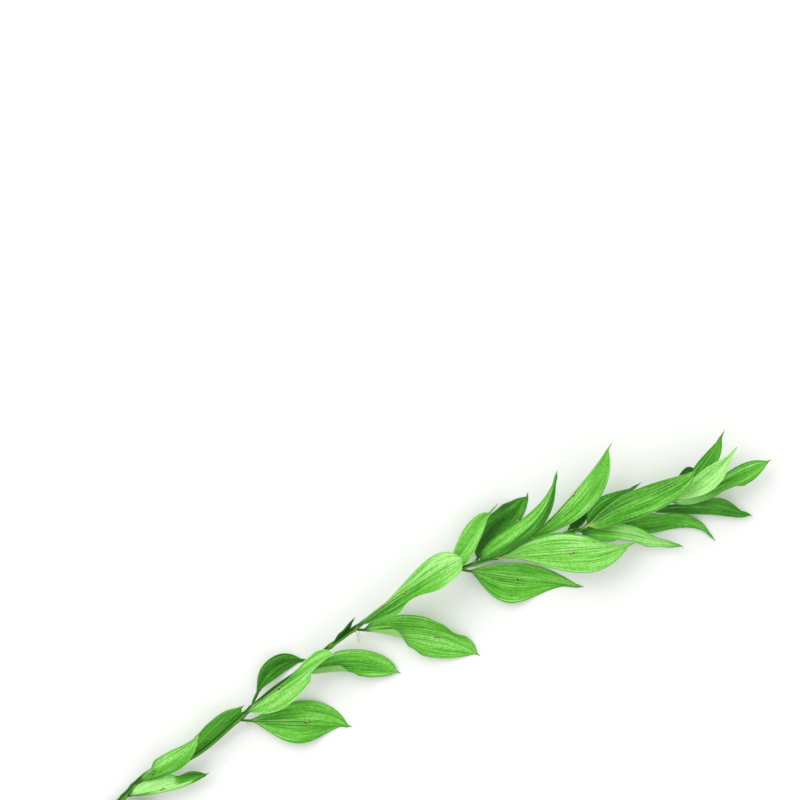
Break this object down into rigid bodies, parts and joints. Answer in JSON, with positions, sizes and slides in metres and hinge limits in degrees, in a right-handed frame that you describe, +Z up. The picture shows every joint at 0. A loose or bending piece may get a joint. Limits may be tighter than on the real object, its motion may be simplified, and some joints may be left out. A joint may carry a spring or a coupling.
{
  "type": "preserved ruscus leaf stem",
  "caption": "Cut green ruscus stem with pointed, gently curled leaves on short stalks, lying flat on its lower leaves.",
  "frame": {"origin": "under the middle of the bounding box, on the surface that the stem lies on", "axes": "+X along the stem from its cut end to its tip, +Y to the left seen from above, +Z up"},
  "size_m": [0.5882, 0.0936, 0.0364],
  "materials": {
    "leaf": "waxy satin, veined",
    "stem": "ridged, satin",
    "bract": "dry, matte"
  },
  "bodies": {
    "root": {"leafy_stem": "leaf"}
  },
  "joints": []
}
